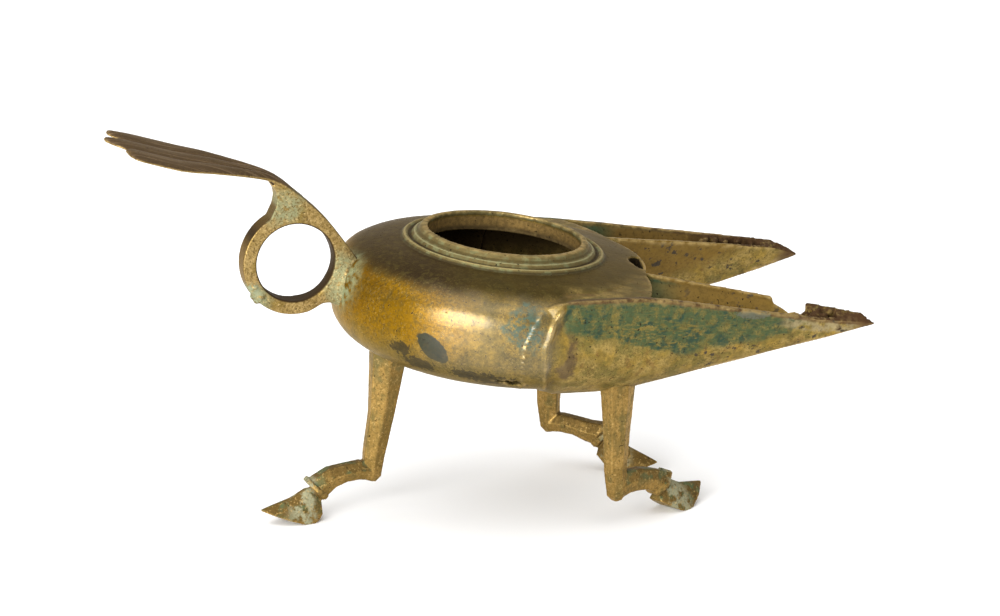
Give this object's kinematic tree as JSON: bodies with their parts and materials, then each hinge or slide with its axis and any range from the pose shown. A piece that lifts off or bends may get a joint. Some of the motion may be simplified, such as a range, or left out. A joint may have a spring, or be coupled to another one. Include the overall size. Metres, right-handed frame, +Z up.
{
  "type": "double-spouted oil lamp",
  "caption": "Ancient cast bronze oil lamp on hoofed legs, hollow round body with paired pointed spouts, finger ring and leaf thumb rest, worn golden-green patina",
  "frame": {"origin": "on the ground under the middle of the lamp's length and width", "axes": "+X along the spouts, +Y to the lamp's left, +Z up"},
  "size_m": [0.208, 0.0932, 0.1143],
  "materials": {
    "patinated_bronze": "worn cast bronze, golden olive with green and brown patina"
  },
  "bodies": {
    "root": {"reservoir": "patinated_bronze", "handle": "patinated_bronze", "rear_leg": "patinated_bronze", "front_leg_right": "patinated_bronze", "front_leg_left": "patinated_bronze"}
  },
  "joints": []
}
